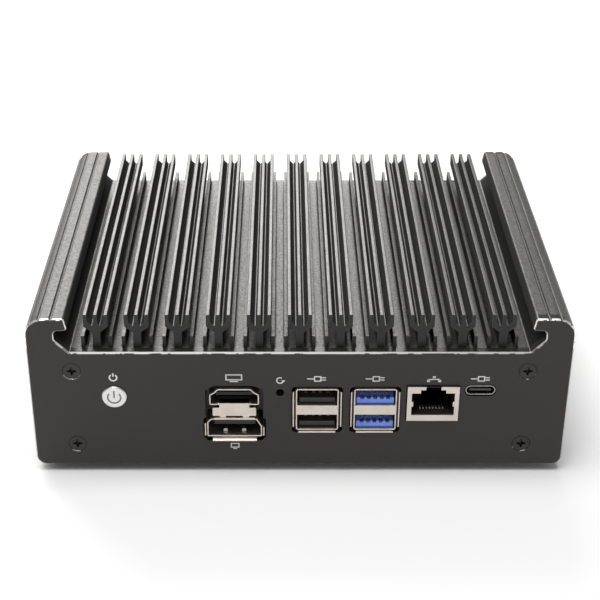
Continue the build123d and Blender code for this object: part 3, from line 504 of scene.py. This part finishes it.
def network_symbol(mesh):
    """Three stations on one line."""
    ribbon(mesh, [(-1.7, 0), (1.7, 0)], 0.32)
    ribbon(mesh, [(0, 0), (0, 0.55)], 0.32)
    for x, y in ((-1.7, -0.55), (1.7, -0.55), (0, 0.75)):
        ribbon(mesh, [(x, 0), (x, y)], 0.32)
        ribbon(mesh, [(x - 0.45, y), (x + 0.45, y)], 0.75)


def on_front(x, height):
    """Place on the front panel, from millimetres across and above the bottom of the case."""
    return (x * MM, front_y, case_bottom + height * MM)


# Name to its place across and above the bottom of the case, in millimetres, and its drawing
front_marks = {
    "mark_power": (middle("power_button").x / MM, 32.55, power_symbol(1.12, 0.48, 1.6, 0.35, 36)),
    "mark_upper_video": (middle("upper_video_shell").x / MM, 32.3, screen_symbol),
    "mark_lower_video": (middle("lower_video_shell").x / MM, 7.1, small_screen_symbol),
    "mark_clear": (middle("clear_switch_plunger").x / MM, 31.5, renew_symbol),
    "mark_black_usb": (middle("black_usb_shell").x / MM, 32.1, plug_symbol),
    "mark_blue_usb": (middle("blue_usb_shell").x / MM, 32.1, plug_symbol),
    "mark_com": (middle("com_jack_shield").x / MM, 31.9, network_symbol),
    "mark_usb_c": (middle("usb_c_shell").x / MM, 32.1, plug_symbol),
}
for name, (x, height, draw) in front_marks.items():
    mark(name, ink, "case", on_front(x, height), draw)


def polarity_symbol(mesh):
    """Direct-current inlet: a dot in an open ring between two stubs."""
    disc(mesh, (0, 0), 0.42)
    ribbon(mesh, arc((0, 0), 1.0, 40, 320), 0.3)
    ribbon(mesh, [(-2.6, 0), (-1.0, 0)], 0.3)
    ribbon(mesh, [(0.42, 0), (2.6, 0)], 0.3)


def on_rear(x, height):
    """Place on the rear panel, like on_front."""
    return (x * MM, rear_y, case_bottom + height * MM)


LAN_JACKS = 6
lan_jack_width = 16.0 * MM
lan_mark_height = 31.9  # millimetres, like the other marks' heights
inlet_mark_height = 30.6
lan_low, lan_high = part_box("lan_jack_shields")
lan_pitch = (lan_high.x - lan_low.x - lan_jack_width) / (LAN_JACKS - 1)
for i in range(LAN_JACKS):
    x = (lan_low.x + lan_jack_width / 2 + i * lan_pitch) / MM
    place = on_rear(x, lan_mark_height)
    mark(f"mark_lan_{i + 1}", ink, "case", place, network_symbol, side=1)
place = on_rear(middle("dc_jack_pin").x / MM, inlet_mark_height)
mark("mark_inlet", ink, "case", place, polarity_symbol, side=1)

button_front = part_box("power_button")[0].y
button_middle = middle("power_button")
mark(
    "button_symbol", engraving, "power_button",
    (button_middle.x, button_front, button_middle.z),
    power_symbol(2.0, 0.5, 2.35, -0.15, 50),
)


# ---------------------------------------------------------------- studio
FLOOR_SIZE = 5.0
mesh = bmesh.new()
bmesh.ops.create_grid(mesh, x_segments=2, y_segments=2, size=FLOOR_SIZE / 2)
floor_mesh = bpy.data.meshes.new("floor")
mesh.to_mesh(floor_mesh)
mesh.free()
floor = bpy.data.objects.new("floor", floor_mesh)
bpy.context.scene.collection.objects.link(floor)
floor_look = Look("floor_paper", (0.93, 0.93, 0.93), 0.9, specular=0.1)
floor_look.bump(floor_look.noise(300, detail=2.0), 0.05 * MM, 0.1)
floor_mesh.materials.append(floor_look.material)

world = bpy.data.worlds.new("studio")
bpy.context.scene.world = world
world.use_nodes = True
sky = world.node_tree
direction = sky.nodes.new("ShaderNodeSeparateXYZ")
sky.links.new(sky.nodes.new("ShaderNodeTexCoord").outputs["Generated"], direction.inputs[0])


def sky_ramp(axis, low, high, to_low, to_high):
    """Brightness of the sky along one axis of the direction looked in."""
    ramp = sky.nodes.new("ShaderNodeMapRange")
    named = {"From Min": low, "From Max": high, "To Min": to_low, "To Max": to_high}
    for socket, value in named.items():
        ramp.inputs[socket].default_value = value
    sky.links.new(direction.outputs[axis], ramp.inputs["Value"])
    return ramp.outputs[0]


strength = sky.nodes.new("ShaderNodeMath")
strength.operation = "MULTIPLY"
glow = sky_ramp("Z", 0.0, 0.3, 0.95, 0.3)  # pale towards the horizon, dimmer overhead
left = sky_ramp("X", -0.9, -0.2, 0.5, 1.0)  # the studio's left side is the dimmer one
sky.links.new(glow, strength.inputs[0])
sky.links.new(left, strength.inputs[1])
sky.links.new(strength.outputs[0], sky.nodes["Background"].inputs["Strength"])
sky.nodes["Background"].inputs["Color"].default_value = (1.0, 1.0, 1.0, 1.0)


def soft_light(name, place, aim, size, power, colour=(1.0, 1.0, 1.0)):
    """Rectangular soft box at place, turned towards aim."""
    data = bpy.data.lights.new(name, "AREA")
    data.shape = "RECTANGLE"
    data.size, data.size_y = size
    data.energy = power
    data.color = colour
    made = bpy.data.objects.new(name, data)
    made.location = place
    made.rotation_euler = (Vector(aim) - Vector(place)).to_track_quat("-Z", "Y").to_euler()
    bpy.context.scene.collection.objects.link(made)


soft_light("back_box", (-0.42, 1.25, 0.82), (0, 0, 0), (1.3, 0.8), 20.0, (1.0, 0.985, 0.97))
soft_light("top_box", (-0.15, -0.2, 1.3), (0, -0.15, 0), (0.9, 0.9), 15.0)

camera_data = bpy.data.cameras.new("camera")
camera = bpy.data.objects.new("camera", camera_data)
camera_data.lens = 83.62
camera_data.sensor_width = 36.0
camera_data.shift_x = 0.028
camera.location = (-5.05 * MM, -424.5 * MM, 264.5 * MM)
camera.rotation_euler = (math.radians(60.76), 0, 0)
bpy.context.scene.collection.objects.link(camera)
bpy.context.scene.camera = camera
bpy.context.scene.view_settings.view_transform = "Standard"
